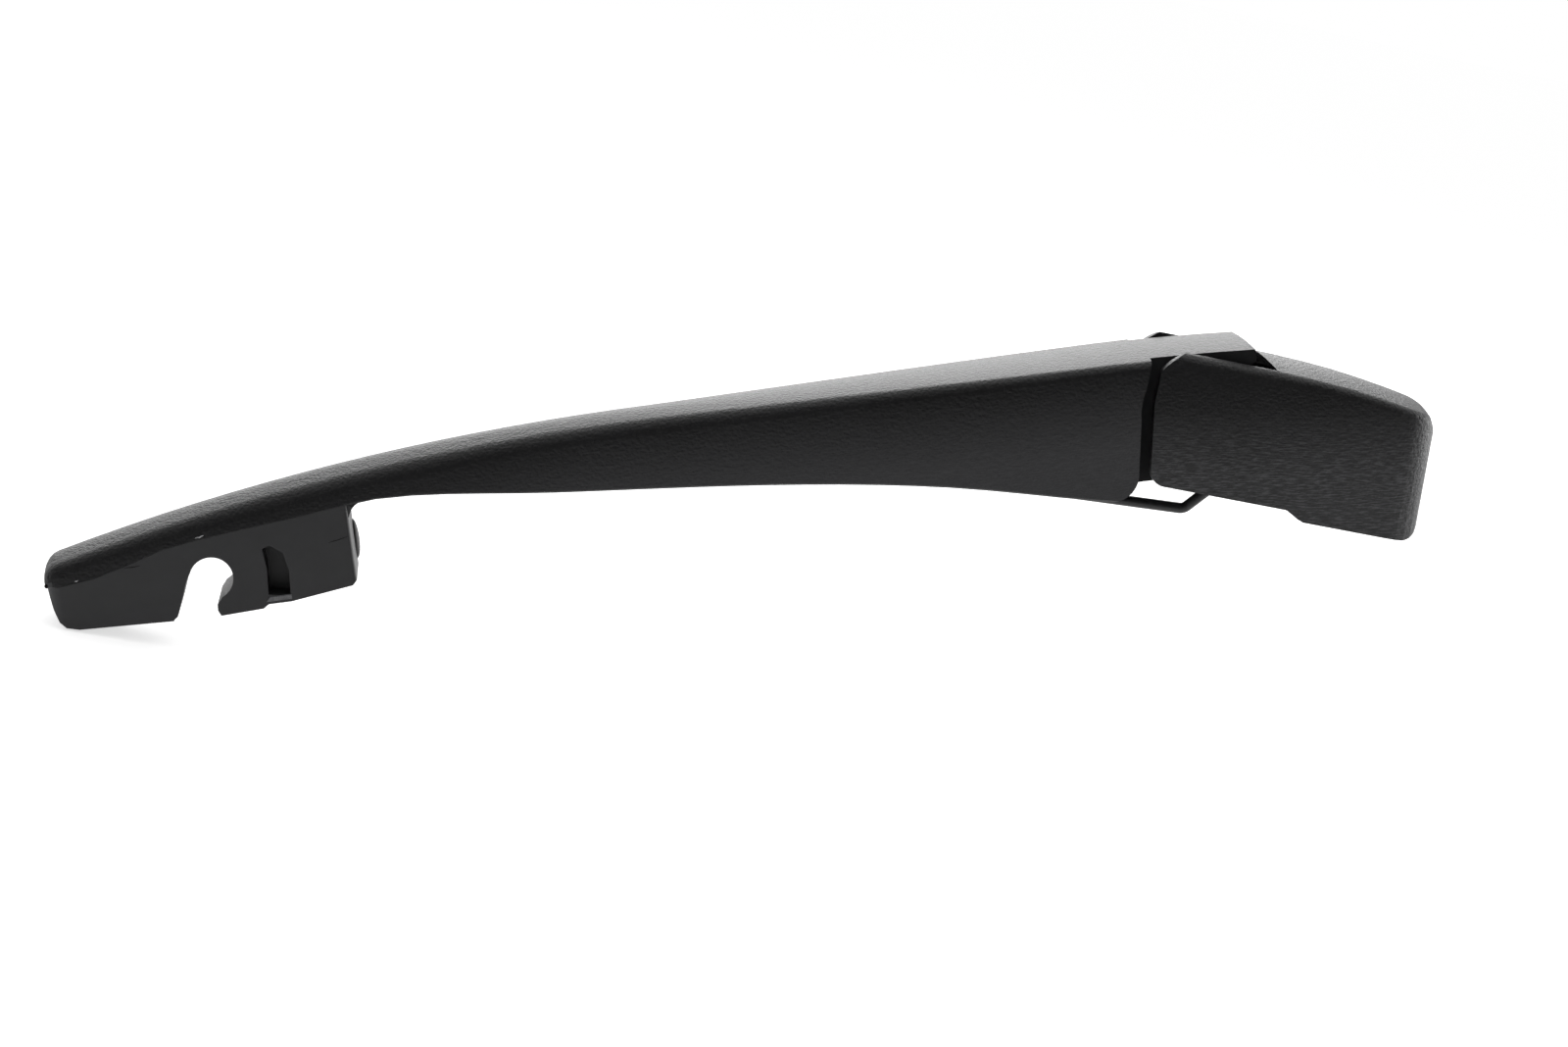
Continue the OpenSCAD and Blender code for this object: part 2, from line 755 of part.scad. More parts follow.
module hood_side() {
    hx = -hinge_reach;
    front = hx - cheek_reach;
    foot_x = front + front_lean;
    rear_x = hood_rear - hood_rear_round;
    intersection() {
        union() {
            polygon([
                [front, hinge_h], [front, hinge_h + far], [far, hinge_h + far], [far, hood_rear_round],
                [rear_x, hood_rear_round], [rear_x, 0],
                [step_x + 2.6, 0], [step_x + 1.2, 0.5], [step_x - 1.6, front_foot],
                [foot_x + front_corner, front_foot], [foot_x, front_foot + front_corner]
            ]);
            translate([foot_x + front_corner, front_foot + front_corner]) circle(front_corner);
            translate([rear_x, hood_rear_round]) circle(hood_rear_round);
        }
        union() {
            translate([hx, hinge_h]) circle(cheek_arc_r, $fn = 96);
            translate([hx, -cut]) square([far * 2, far * 2]);
            translate([front, -cut]) square([far, hinge_h]);
        }
    }
}

// Opening of the hood in front, swept clear of the neck's end, and the bosses for the hinge pin

module neck_opening(half) {
    translate([-hinge_reach, 0, hinge_h]) {
        rotate([90, 0, 0])
            cylinder(h = 2 * half, r = norm([neck_tail, roof(neck_tail)]) + swing_gap, center = true);
        translate([-far, -half, 0]) cube([far, 2 * half, far]);
    }
}

module hinge_bosses(half) {
    boss_in = neck_half + 0.4;
    for (side = [-1, 1])
        translate([-hinge_reach, side * (half + boss_in + 0.6) / 2, hinge_h]) rotate([90, 0, 0])
            cylinder(h = half - boss_in + 0.6, r = pin_r + 2.2, center = true);
}

module head_cap() {
    inner_half = hood_width / 2 - hood_wall;
    bore_half = hood_width / 2 - 1.1;
    color(moulded) placed() difference() {
        union() {
            difference() {
                intersection() {
                    difference() {
                        hood_solid(0);
                        hood_solid(hood_wall);
                    }
                    across(hood_width + 2) hood_side();
                }
                neck_opening(inner_half);
            }
            hinge_bosses(inner_half);
        }
        translate([-hinge_reach, 0, hinge_h]) rotate([90, 0, 0])
            cylinder(h = 2 * bore_half, r = pin_r + running_gap, center = true);
    }
}

arm_body();
spring_pin();
tension_spring();
spring_link();
mounting_head();
hinge_pin();
anchor_pin();
head_cap();
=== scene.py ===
"""Rear window wiper arm: finishes, softened edges, marks of the mould, the light and the camera."""
import json
import math

import bmesh
import bpy
from mathutils import Matrix, Vector


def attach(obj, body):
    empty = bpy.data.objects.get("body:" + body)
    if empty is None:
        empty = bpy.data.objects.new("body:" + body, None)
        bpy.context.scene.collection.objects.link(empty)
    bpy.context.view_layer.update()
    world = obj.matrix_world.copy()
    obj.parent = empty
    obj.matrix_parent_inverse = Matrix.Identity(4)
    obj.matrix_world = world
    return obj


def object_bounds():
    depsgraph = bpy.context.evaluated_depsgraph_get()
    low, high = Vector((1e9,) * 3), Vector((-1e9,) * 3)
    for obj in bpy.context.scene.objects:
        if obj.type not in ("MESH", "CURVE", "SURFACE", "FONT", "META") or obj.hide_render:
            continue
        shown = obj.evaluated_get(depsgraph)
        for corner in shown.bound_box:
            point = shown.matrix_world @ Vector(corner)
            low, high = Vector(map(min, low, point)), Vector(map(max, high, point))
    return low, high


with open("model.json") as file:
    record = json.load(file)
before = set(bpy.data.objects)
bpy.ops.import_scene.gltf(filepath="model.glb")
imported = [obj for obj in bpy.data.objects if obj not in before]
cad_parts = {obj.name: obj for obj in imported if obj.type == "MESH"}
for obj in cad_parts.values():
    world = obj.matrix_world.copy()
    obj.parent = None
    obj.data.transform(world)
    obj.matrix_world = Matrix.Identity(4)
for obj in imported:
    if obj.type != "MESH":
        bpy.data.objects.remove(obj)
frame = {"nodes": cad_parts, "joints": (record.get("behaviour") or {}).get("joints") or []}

bl_info = {
    "name": "Rear wiper arm",
    "version": (1, 0, 0),
    "blender": (4, 5, 0),
    "location": "3D View > Sidebar > Wiper arm",
    "description": "Dresses the packed wiper arm with moulded plastic, cast zinc and spring steel",
    "category": "Object",
}

MM = 0.001
CAD_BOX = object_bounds()

# The level arm: its own frame in mm, with the hinge as origin and the arm's length along X.
HINGE = Vector(next(joint["pos_m"] for joint in frame["joints"] if joint["name"] == "arm_lift"))
DROOP = math.radians(18)
ALONG_ARM = Matrix.Rotation(DROOP, 4, "Y")
FROM_LEVEL = Matrix.Translation(HINGE) @ ALONG_ARM.inverted() @ Matrix.Scale(MM, 4)

# Side walls: the middle of their height, in coordinates turned along the piece, in metres.
HOOD_SLOPE = math.radians(11)
ARM_MIDDLE = (ALONG_ARM @ HINGE).z + 5 * MM
HOOD_MIDDLE = 11 * MM
# From the first to the second place along the arm, the walls' middle rises by BOW.
BOW_PLACES = (-0.26, -0.15)
BOW = 13 * MM
# The painted light from below, in pale flow lines, starts above the walls' middle and is full below it.
# It grows from front to rear.
PAINTED_LIGHT_ABOVE, PAINTED_LIGHT_BELOW = 4 * MM, 11 * MM
PAINTED_LIGHT_PLACES = (-0.22, -0.17)

# Sizes of what the patterns show, in metres. The marks of tool and drawing are finer on the real arm,
# and are drawn as coarse as they need to show.
SHELL_CLOUD = 22 * MM
MOUNT_CLOUD = 9 * MM
TOOL_MARK = 0.5 * MM
# Mottle of the painted shade on the neck's sides.
NECK_SHADE_MOTTLE = 1.5 * MM
GRIT = 0.55 * MM
RUB_MARK = 0.7 * MM
SLIDE_MARK = 0.4 * MM
TEAR = 0.3 * MM
# Mottle of the painted shade in the creases and the nick.
CREASE_SHADE_MOTTLE = 0.4 * MM
CAST_SKIN = 1.6 * MM
CAST_CLOUD = 8 * MM
DRAWING_MARK = 0.25 * MM
STEEL_CLOUD = 3 * MM
PHOSPHATE = 0.6 * MM
PAPER_FIBRE = 2 * MM
# Pits of the grain against its width.
PIT_SHARE = 1.4
# How patterns are drawn out, by axis: the smaller the number, the longer the marks.
FLOW_STRETCH = (0.11, 0.4, 1)
SLIDE_STRETCH = (1, 1, 0.2)
DRAWING_STRETCH = (1, 0.08, 1)
# Parts of the flow noise at which a pale line begins and at which it is full.
FLOW_ENDS = (0.47, 0.62)
POLYESTER_IOR = 1.55

# Areas of the level arm, in mm. The seam between mount and shell is given as places along and up.
SEAM = ((-250, -7.4), (-242, -7.1), (-229, -3.8), (-222, -1.7), (-195, 1.6), (-184, 2.4))
MOUNT_REAR, MOUNT_HALF_WIDTH = -183.5, 8.24
NECK_FRONT, NECK_HALF_WIDTH = -26, 11.5
SEAT_FRONT, SEAT_REAR, SEAT_BOTTOM = -215, -209, -17
# Parts of a face's unit normal along or across the arm that tell which way it looks.
TO_FRONT, HARDLY_ASIDE, TO_SIDE = -0.4, 0.3, 0.7

# Slivers on the near side of the level arm, in mm: place along, drop below the seam, length, height, rise.
FLASHES = {"flash_long": (-215.7, 0.25, 2.0, 0.42, 0.2),
           "flash_short": (-242.4, 0.25, 0.9, 0.36, 0.2)}
# The creases are near-black slivers: painted shade in creases of the skin.
CREASES = {"crease_front": (-230.6, 1.7, 3.5, 0.24, 0.02),
           "crease_upper": (-230.5, 0.6, 2.7, 0.24, 0.3),
           "crease_rear": (-187.0, 7.7, 4.3, 0.24, 0.2)}
FLASH_FACE, CREASE_FACE = -8.47, -8.2
# Section of a sliver: depth in mm, and height against its half height.
SLIVER_SECTION = ((0.1, -1), (-0.04, -0.5), (-0.07, 0.1), (-0.03, 0.6), (0.1, 1))
SLIVER_STEPS = 12
# Its height is a sine to the power of the bluntness, of which its tips keep a share, and it waves a little.
SLIVER_BLUNTNESS, SLIVER_TIP = 0.6, 0.04
SLIVER_WAVE, SLIVER_WAVES = 0.15, 9
# Lumps on the level arm, in mm: centre and half sizes.
# The nick is a near-black lump: painted shade of a small notch in the nose.
NOSE_NICK = ((-248.9, -7.35, -7.9), (0.45, 0.45, 0.5))
REAR_PAD = ((-184.2, 6.1, -8.9), (1.0, 1.7, 4.4))
# Sill below the mount's pocket: its section as places across and up, with the first two corners on top.
SILL_SECTION = ((-8.1, -15.95), (-8.48, -16.1), (-8.3, -17.0), (-8.1, -17.1))
SILL_ENDS = ((-202.8, -203.7), (-198.2, -198.3))

# Lamps: place from the middle of the object, and size, in metres.
MIDDLE = Vector((-0.12, 0, -0.03))
LAMPS = {"top": ((0.05, 0.1, 0.9), (1.2, 1.2)),
         "back": ((-0.08, 1.5, 0.6), (1.5, 0.9)),
         "front": ((-0.5, -1.0, 0.45), (0.9, 0.9)),
         "side": ((1.15, 0.3, 0.16), (1.0, 0.5))}
# The surround lights by SURROUND_LIGHT, and its reflection fades out from behind to the near side.
SURROUND_LIGHT = 0.42
SURROUND_FADE = (-0.5, 0.3)
FLOOR_REACH, FLOOR_GAP = 6.0, 0.5 * MM
# The floor's own glow: as the camera sees it, and in reflections of its part behind the object.
FLOOR_GLOW, MIRRORED_GLOW = 0.6, 0.5
FLOOR_FADE = (-0.1, 0.1)
WHITE = (1, 1, 1, 1)


def to_linear(hex_colour):
    """sRGB hex to Blender's linear colour, with alpha."""
    parts = [int(hex_colour.lstrip("#")[i:i + 2], 16) / 255 for i in (0, 2, 4)]
    return [c / 12.92 if c <= 0.04045 else ((c + 0.055) / 1.055) ** 2.4 for c in parts] + [1.0]


# Darker and lighter tone of what nobody would recolour.
# Painted shade: the neck's sides beside the hinge, near black as the gap's shadow.
NECK_SHADE_TONES = to_linear("#101011"), to_linear("#1d1d1f")
# Partly painted reflection: the seat is paler for the white ground its front mirrors, and partly rubbed
# pale.
SCUFF_AND_REFLECTION_TONES = to_linear("#3c3c3e"), to_linear("#86868a")
# Painted highlight: the sill is paler than the mount, for the light its ledge catches.
SILL_HIGHLIGHT_TONES = to_linear("#4c4c4e"), to_linear("#767678")
FLASH_TONES = to_linear("#7a7a7c"), to_linear("#d0d0d2")
# Painted shade: the creases and the nick.
CREASE_SHADE_TONES = to_linear("#060606"), to_linear("#101010")
PAPER_TONES = to_linear("#f6f6f6"), to_linear("#fbfbfb")
# Parts of a mask at which a colour is fully the darker and fully the lighter tone.
TONE_ENDS = (0.3, 0.72)


def tone(name, description, default):
    return bpy.props.FloatVectorProperty(name=name, description=description, default=to_linear(default),
                                         size=4, min=0, max=1, subtype="COLOR")


def millimetres(name, description, default, low, high):
    """Property for a length, given in mm and kept in metres."""
    return bpy.props.FloatProperty(name=name, description=description, default=default * MM,
                                   min=low * MM, max=high * MM, unit="LENGTH")


def power(name, description, default):
    return bpy.props.FloatProperty(name=name, description=description, default=default, min=0,
                                   unit="POWER")


def vector(name, description, default, subtype):
    return bpy.props.FloatVectorProperty(name=name, description=description, default=default,
                                         subtype=subtype)


class WiperFinish(bpy.types.PropertyGroup):
    """Colours and surface sizes."""
    shell_dark: tone("Shell, dark", "Darker tone of the glass-filled shell", "#070708")
    shell_light: tone("Shell, light", "Lighter tone of the glass-filled shell", "#101012")
    # Tones of the painted light from below, in pale flow lines, on the walls of arm and hood.
    arm_lines_and_light: tone("Flow lines and painted light, arm", "Tone of the flow lines and painted light low on the arm's walls", "#333335")
    hood_lines_and_light: tone("Flow lines and painted light, hood", "Tone of the flow lines and painted light low on the hood", "#464648")
    mount_dark: tone("Mount, dark", "Darker tone of the smooth blade mount", "#202022")
    mount_light: tone("Mount, light", "Lighter tone of the smooth blade mount", "#29292b")
    zinc_dark: tone("Casting, dark", "Darker tone of the coated casting", "#151516")
    zinc_light: tone("Casting, light", "Lighter tone of the coated casting", "#222224")
    steel_dark: tone("Steel, dark", "Darker tone of the bare spring steel", "#8b8c8e")
    steel_light: tone("Steel, light", "Lighter tone of the bare spring steel", "#b4b5b7")
    grain: millimetres("Grain", "Width of the spark-eroded grain", 0.5, 0.1, 2)
    belly: millimetres("Belly", "Radius of the slight bulge of the side walls", 40, 30, 1000)
    flow: millimetres("Flow lines", "Spacing of the wavy flow lines in the plastic", 0.3, 0.2, 4)


class WiperSizes(bpy.types.PropertyGroup):
    """Roundings that the scene gives the edges of the solids."""
    edge_round: millimetres("Moulded edges", "Rounding of the moulded edges", 0.35, 0, 1)
    cast_round: millimetres("Cast edges", "Rounding of the cast edges", 0.4, 0, 1)
    pin_round: millimetres("Pin edges", "Rounding of the ends of the pins", 0.25, 0, 1)
    link_round: millimetres("Link edges", "Rounding of the ends of the link", 0.15, 0, 1)
    spring_round: millimetres("Spring edges", "Rounding of the ends of the spring's wire", 0.05, 0, 1)


class WiperStage(bpy.types.PropertyGroup):
    """Camera and light."""
    eye: vector("Camera", "Place of the camera", (-0.2225, -0.7175, 0.1113), "TRANSLATION")
    look: vector("View", "Direction of the view", (0.1415, 0.9696, -0.1999), "DIRECTION")
    right: vector("Right", "Direction that is level in the picture", (0.9733, -0.0993, 0.2069), "DIRECTION")
    lens: bpy.props.FloatProperty(name="Lens", description="Focal length on a sensor 36 mm wide",
                                  default=78.3, min=20, max=200, unit="CAMERA")
    top_power: power("Top light", "Power of the lamp above", 1.5)
    back_power: power("Back light", "Power of the lamp behind the object", 15)
    front_power: power("Front light", "Power of the lamp beside the camera", 0.5)
    side_power: power("Side light", "Power of the lamp behind the head's right", 6.5)


def add_node(tree, kind, links=None, values=None, **settings):
    """Adds a shader node, sets it up and links its inputs from other nodes' outputs."""
    node = tree.nodes.new(kind)
    for name, value in settings.items():
        setattr(node, name, value)
    for name, value in (values or {}).items():
        node.inputs[name].default_value = value
    for name, source in (links or {}).items():
        tree.links.new(source, node.inputs[name])
    return node


def new_material(name, turn=0.0):
    """An empty node material with its output, a Principled shader and the object's own coordinates.

    The coordinates are turned about Y, so that patterns run along a sloping piece.
    """
    material = bpy.data.materials.new(name)
    material.use_nodes = True
    tree = material.node_tree
    tree.nodes.clear()
    shader = add_node(tree, "ShaderNodeBsdfPrincipled")
    add_node(tree, "ShaderNodeOutputMaterial", {"Surface": shader.outputs["BSDF"]})
    place = add_node(tree, "ShaderNodeTexCoord").outputs["Object"]
    turned = add_node(tree, "ShaderNodeMapping", {"Vector": place}, {"Rotation": (0, turn, 0)})
    return material, tree, shader, turned.outputs["Vector"]


def scale_for(size):
    """Scale at which one blotch or cell of a pattern measures size, in metres."""
    return 1 / size


def two_tones(tree, mask, tones):
    """Colour between a darker and a lighter tone, chosen by a mask."""
    ramp = add_node(tree, "ShaderNodeValToRGB", {"Fac": mask})
    for element, colour, position in zip(ramp.color_ramp.elements, tones, TONE_ENDS):
        element.color = colour
        element.position = position
    return ramp.outputs["Color"]


def dress(tree, shader, colour, mask, roughness, *bumps):
    """Gives the shader a colour, a roughness between two values by a mask, and bumps over one another.

    A bump is a height, a strength and a depth in metres.
    """
    smooth, rough = roughness
    spread = add_node(tree, "ShaderNodeMapRange", {"Value": mask}, {"To Min": smooth, "To Max": rough})
    tree.links.new(colour, shader.inputs["Base Color"])
    tree.links.new(spread.outputs["Result"], shader.inputs["Roughness"])
    under = {}
    for height, strength, depth in bumps:
        layer = add_node(tree, "ShaderNodeBump", {"Height": height, **under},
                         {"Strength": strength, "Distance": depth})
        under = {"Normal": layer.outputs["Normal"]}
    if under:
        tree.links.new(under["Normal"], shader.inputs["Normal"])


def bellied_wall(tree, axes, radius, middle):
    """Height pattern of a side wall that bulges by a radius about its middle, which follows the bow."""
    low, high = BOW_PLACES
    bow = add_node(tree, "ShaderNodeMapRange", {"Value": axes["X"]},
                   {"From Min": low, "From Max": high, "To Min": middle - BOW, "To Max": middle})
    away = add_node(tree, "ShaderNodeMath", {0: axes["Z"], 1: bow.outputs["Result"]},
                    operation="SUBTRACT").outputs["Value"]
    squared = add_node(tree, "ShaderNodeMath", {0: away, 1: away}, operation="MULTIPLY").outputs["Value"]
    return add_node(tree, "ShaderNodeMath", {0: squared}, {1: -0.5 / radius},
                    operation="MULTIPLY").outputs["Value"]


def flow_lines_and_painted_light(tree, axes, flow, middle, even):
    """Mask of the painted light from below, in pale flow lines, which is there low on the walls and towards
    the rear.

    The share even of it is even, and the rest is in flow lines.
    """
    front, rear = PAINTED_LIGHT_PLACES
    low = add_node(tree, "ShaderNodeMapRange", {"Value": axes["Z"]},
                   {"From Min": middle + PAINTED_LIGHT_ABOVE, "From Max": middle - PAINTED_LIGHT_BELOW}).outputs["Result"]
    along = add_node(tree, "ShaderNodeMapRange", {"Value": axes["X"]},
                     {"From Min": front, "From Max": rear}).outputs["Result"]
    begin, full = FLOW_ENDS
    lines = add_node(tree, "ShaderNodeMapRange", {"Value": flow},
                     {"From Min": begin, "From Max": full}).outputs["Result"]
    streaks = add_node(tree, "ShaderNodeMapRange", {"Value": lines}, {"To Min": even}).outputs["Result"]
    faded = add_node(tree, "ShaderNodeMath", {0: low, 1: along}, operation="MULTIPLY").outputs["Value"]
    return add_node(tree, "ShaderNodeMath", {0: faded, 1: streaks}, operation="MULTIPLY").outputs["Value"]


def glass_filled_plastic(name, finish, turn, middle, pale, even, mirror):
    """Glass-filled polyester from a spark-eroded mould: dull and finely pitted, with faint flow lines.

    Low on the walls and to the rear the skin is paler, in flow lines: painted light from below.
    The pits of the grain swallow part of what the skin would mirror, so its specular level is below that of
    an even plastic.
    """
    material, tree, shader, level = new_material(name, turn)
    axes = add_node(tree, "ShaderNodeSeparateXYZ", {"Vector": level}).outputs
    # The grain and the flow lines are finer on the real arm, and are drawn as coarse as they need to show.
    fine = add_node(tree, "ShaderNodeTexNoise", {"Vector": level},
                    {"Scale": scale_for(finish.grain), "Detail": 2.0, "Roughness": 0.6}).outputs["Fac"]
    pits = add_node(tree, "ShaderNodeTexVoronoi", {"Vector": level},
                    {"Scale": scale_for(PIT_SHARE * finish.grain), "Randomness": 1.0},
                    feature="SMOOTH_F1").outputs["Distance"]
    drawn = add_node(tree, "ShaderNodeMapping", {"Vector": level},
                     {"Scale": FLOW_STRETCH}).outputs["Vector"]
    flow = add_node(tree, "ShaderNodeTexNoise", {"Vector": drawn},
                    {"Scale": scale_for(finish.flow), "Detail": 3.0, "Roughness": 0.6,
                     "Distortion": 0.25}).outputs["Fac"]
    clouds = add_node(tree, "ShaderNodeTexNoise", {"Vector": level},
                      {"Scale": scale_for(SHELL_CLOUD), "Detail": 2.0}).outputs["Fac"]
    ground = two_tones(tree, clouds, (finish.shell_dark, finish.shell_light))
    # Painted light from below: the walls pale low down and towards the rear, in flow lines.
    lines_and_light = flow_lines_and_painted_light(tree, axes, flow, middle, even)
    colour = add_node(tree, "ShaderNodeMixRGB", {"Fac": lines_and_light, "Color1": ground}, {"Color2": pale})
    wall = bellied_wall(tree, axes, finish.belly, middle)
    dress(tree, shader, colour.outputs["Color"], fine, (0.4, 0.56), (fine, 0.35, 0.6 * MM),
          (pits, 0.3, 0.6 * MM), (flow, 0.4, 0.3 * MM), (wall, 1.0, 1.0))
    shader.inputs["Specular IOR Level"].default_value = mirror
    return material


def neck_shade_plastic(name):
    """Neck faces beside the hinge, painted near black as the shade in the gap there, mottled: nearly no
    sheen left.
    """
    material, tree, shader, place = new_material(name)
    shade_mottle = add_node(tree, "ShaderNodeTexNoise", {"Vector": place},
                    {"Scale": scale_for(NECK_SHADE_MOTTLE), "Detail": 4.0, "Roughness": 0.6}).outputs["Fac"]
    dress(tree, shader, two_tones(tree, shade_mottle, NECK_SHADE_TONES), shade_mottle, (0.75, 0.95), (shade_mottle, 0.3, 0.05 * MM))
    shader.inputs["Specular IOR Level"].default_value = 0.4
    return material


def smooth_plastic(name, finish):
    """The same polyester from a stoned mould: smoother and a little lighter, with faint tool marks."""
    material, tree, shader, level = new_material(name, DROOP)
    clouds = add_node(tree, "ShaderNodeTexNoise", {"Vector": level},
                      {"Scale": scale_for(MOUNT_CLOUD), "Detail": 4.0, "Roughness": 0.55}).outputs["Fac"]
    fine = add_node(tree, "ShaderNodeTexNoise", {"Vector": level},
                    {"Scale": scale_for(TOOL_MARK), "Detail": 2.0}).outputs["Fac"]
    colour = two_tones(tree, clouds, (finish.mount_dark, finish.mount_light))
    dress(tree, shader, colour, clouds, (0.42, 0.56), (fine, 0.2, 0.03 * MM), (clouds, 0.25, 0.4 * MM))
    shader.inputs["IOR"].default_value = POLYESTER_IOR
    return material


def scuffed_reflecting_plastic(name):
    """Seat of the blade's bar, rubbed rough and pale by it, with grains of grit pressed in; paler still as
    painted reflection.
    """
    material, tree, shader, place = new_material(name)
    grit = add_node(tree, "ShaderNodeTexVoronoi", {"Vector": place},
                    {"Scale": scale_for(GRIT), "Randomness": 1.0}).outputs["Color"]
    grains = add_node(tree, "ShaderNodeSeparateXYZ", {"Vector": grit}).outputs["X"]
    rub = add_node(tree, "ShaderNodeTexNoise", {"Vector": place},
                   {"Scale": scale_for(RUB_MARK), "Detail": 3.0, "Roughness": 0.7}).outputs["Fac"]
    mixed = add_node(tree, "ShaderNodeMath", {0: grains, 1: rub}, operation="MULTIPLY").outputs["Value"]
    dress(tree, shader, two_tones(tree, mixed, SCUFF_AND_REFLECTION_TONES), rub, (0.38, 0.62), (grains, 0.7, 0.14 * MM))
    shader.inputs["IOR"].default_value = POLYESTER_IOR
    return material


def polished_lit_plastic(name):
    """Sill polished by the mould's slide: the mount's plastic, smoother, marked up and down, and paler as a
    painted highlight.
    """
    material, tree, shader, place = new_material(name)
    drag = add_node(tree, "ShaderNodeMapping", {"Vector": place},
                    {"Scale": SLIDE_STRETCH}).outputs["Vector"]
    marks = add_node(tree, "ShaderNodeTexNoise", {"Vector": drag},
                     {"Scale": scale_for(SLIDE_MARK), "Detail": 3.0}).outputs["Fac"]
    dress(tree, shader, two_tones(tree, marks, SILL_HIGHLIGHT_TONES), marks, (0.3, 0.45))
    return material


def torn_plastic(name):
    """Thin flash of the same polyester, stretched pale where it tore."""
    material, tree, shader, place = new_material(name)
    torn = add_node(tree, "ShaderNodeTexNoise", {"Vector": place},
                    {"Scale": scale_for(TEAR), "Detail": 3.0}).outputs["Fac"]
    dress(tree, shader, two_tones(tree, torn, FLASH_TONES), torn, (0.5, 0.7))
    return material


def crease_shade_plastic(name):
    """Crease in the moulded skin, painted near black as the shade in it, with a faint mottle."""
    material, tree, shader, place = new_material(name)
    shade_mottle = add_node(tree, "ShaderNodeTexNoise", {"Vector": place},
                    {"Scale": scale_for(CREASE_SHADE_MOTTLE), "Detail": 3.0}).outputs["Fac"]
    dress(tree, shader, two_tones(tree, shade_mottle, CREASE_SHADE_TONES), shade_mottle, (0.7, 0.9))
    shader.inputs["Specular IOR Level"].default_value = 0.2
    return material


def coated_zinc(name, finish):
    """Zinc die casting under black cathodic coating: satin and softly uneven, with a thin clear sheen."""
    material, tree, shader, place = new_material(name)
    skin = add_node(tree, "ShaderNodeTexNoise", {"Vector": place},
                    {"Scale": scale_for(CAST_SKIN), "Detail": 4.0, "Roughness": 0.6}).outputs["Fac"]
    clouds = add_node(tree, "ShaderNodeTexNoise", {"Vector": place},
                      {"Scale": scale_for(CAST_CLOUD), "Detail": 3.0}).outputs["Fac"]
    colour = two_tones(tree, clouds, (finish.zinc_dark, finish.zinc_light))
    dress(tree, shader, colour, skin, (0.34, 0.52), (skin, 0.35, 0.12 * MM))
    shader.inputs["Coat Weight"].default_value = 0.25
    shader.inputs["Coat Roughness"].default_value = 0.3
    return material


def drawn_steel(name, finish, turn, roughness):
    """Drawn or ground steel, lightly oiled: grey metal with fine marks along the pins, across the arm."""
    material, tree, shader, level = new_material(name, turn)
    drawn = add_node(tree, "ShaderNodeMapping", {"Vector": level},
                     {"Scale": DRAWING_STRETCH}).outputs["Vector"]
    marks = add_node(tree, "ShaderNodeTexNoise", {"Vector": drawn},
                     {"Scale": scale_for(DRAWING_MARK), "Detail": 3.0, "Roughness": 0.65}).outputs["Fac"]
    clouds = add_node(tree, "ShaderNodeTexNoise", {"Vector": level},
                      {"Scale": scale_for(STEEL_CLOUD), "Detail": 3.0}).outputs["Fac"]
    colour = two_tones(tree, clouds, (finish.steel_dark, finish.steel_light))
    dress(tree, shader, colour, marks, roughness, (marks, 0.25, 0.02 * MM))
    shader.inputs["Metallic"].default_value = 1.0
    return material


def black_wire(name, finish):
    """Steel wire under black phosphate and oil: dark and satin, a little brighter in spots."""
    material, tree, shader, place = new_material(name)
    skin = add_node(tree, "ShaderNodeTexNoise", {"Vector": place},
                    {"Scale": scale_for(PHOSPHATE), "Detail": 4.0, "Roughness": 0.6}).outputs["Fac"]
    colour = two_tones(tree, skin, (finish.zinc_dark, finish.mount_light))
    dress(tree, shader, colour, skin, (0.32, 0.5), (skin, 0.3, 0.04 * MM))
    shader.inputs["Specular IOR Level"].default_value = 0.6
    return material


def soften(node, width, angle=32):
    """Rounds a solid's edges that are sharper than angle, by modifiers, which leave its mesh as it is."""
    solid = frame["nodes"][node]
    weld = solid.modifiers.new("weld", "WELD")
    weld.merge_threshold = 0.002 * MM
    bevel = solid.modifiers.new("edges", "BEVEL")
    bevel.width = width
    bevel.segments = 3
    bevel.limit_method = "ANGLE"
    bevel.angle_limit = math.radians(angle)
    bevel.use_clamp_overlap = True
    bevel.harden_normals = False
    normals = solid.modifiers.new("normals", "WEIGHTED_NORMAL")
    normals.weight = 60
    normals.keep_sharp = True
    solid.data.polygons.foreach_set("use_smooth", [True] * len(solid.data.polygons))
    return solid


def paint(solid, *materials):
    solid.data.materials.clear()
    for material in materials:
        solid.data.materials.append(material)


def seam_height(x):
    """Height of the seam between mount and shell at a place along the level arm, in mm."""
    for (x0, z0), (x1, z1) in zip(SEAM, SEAM[1:]):
        if x <= x1:
            return z0 + (z1 - z0) * max(0, (x - x0) / (x1 - x0))
    return SEAM[-1][1]


def on_seat(place, toward):
    """Whether a face of the level arm is the front of the seat, which the blade's bar rubs."""
    return (SEAT_FRONT < place.x < SEAT_REAR and place.z > SEAT_BOTTOM
            and toward.x < TO_FRONT and abs(toward.y) < HARDLY_ASIDE)


def on_mount(place):
    return place.x < MOUNT_REAR and abs(place.y) < MOUNT_HALF_WIDTH and place.z < seam_height(place.x)


def on_neck_side(place, toward):
    return place.x > NECK_FRONT and abs(place.y) < NECK_HALF_WIDTH and abs(toward.y) > TO_SIDE


